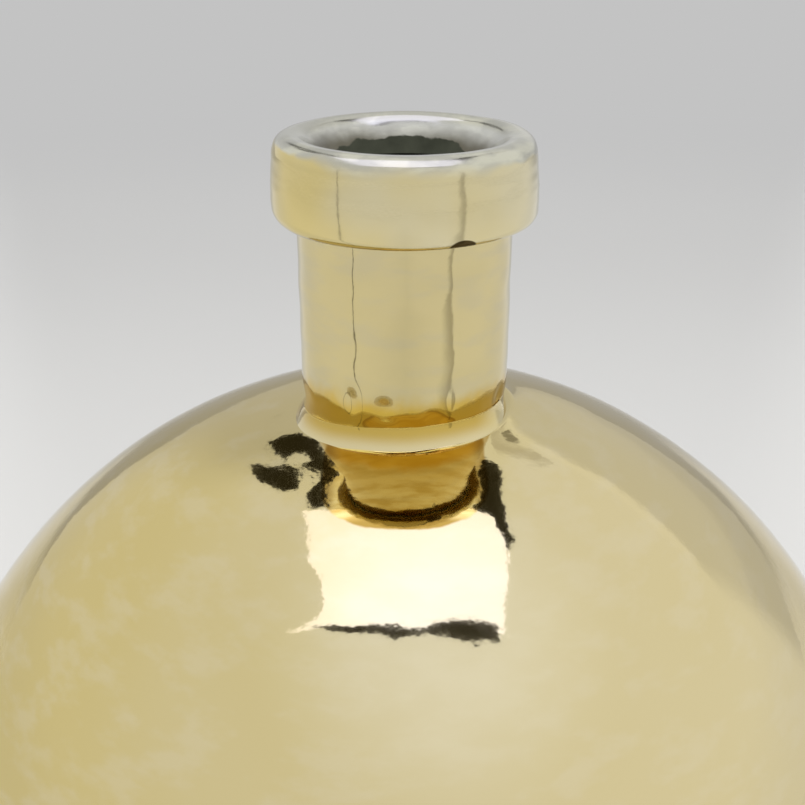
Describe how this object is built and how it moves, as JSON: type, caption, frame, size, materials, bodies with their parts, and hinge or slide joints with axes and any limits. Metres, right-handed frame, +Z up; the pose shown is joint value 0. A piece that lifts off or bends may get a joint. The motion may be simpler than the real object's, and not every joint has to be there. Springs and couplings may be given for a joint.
{
  "type": "vase",
  "caption": "Round globe vase of blown glass with a mirror gold finish, a straight bottle neck ringed at its foot and a thick round silver lip, for stems or display.",
  "frame": {"origin": "on the axis, on the flat underside of the felt pad, where the vase meets the table", "axes": "+Z up along the vase's axis, from the foot to the mouth; the vase is round, so X and Y are free"},
  "size_m": [0.3, 0.3, 0.3665],
  "materials": {
    "gold_mirror_glass": "blown glass, silvered outside and lacquered pale gold, mirror gloss",
    "gold_and_silver_glass": "blown glass, pale gold lacquer on its side that stops in a ragged line below a bare silver lip",
    "grey_felt": "pressed dark grey felt"
  },
  "bodies": {
    "root": {"globe_body": "gold_mirror_glass", "neck_tube": "gold_mirror_glass", "neck_ring": "gold_mirror_glass", "lip_collar": "gold_and_silver_glass", "base_felt": "grey_felt"}
  },
  "joints": []
}
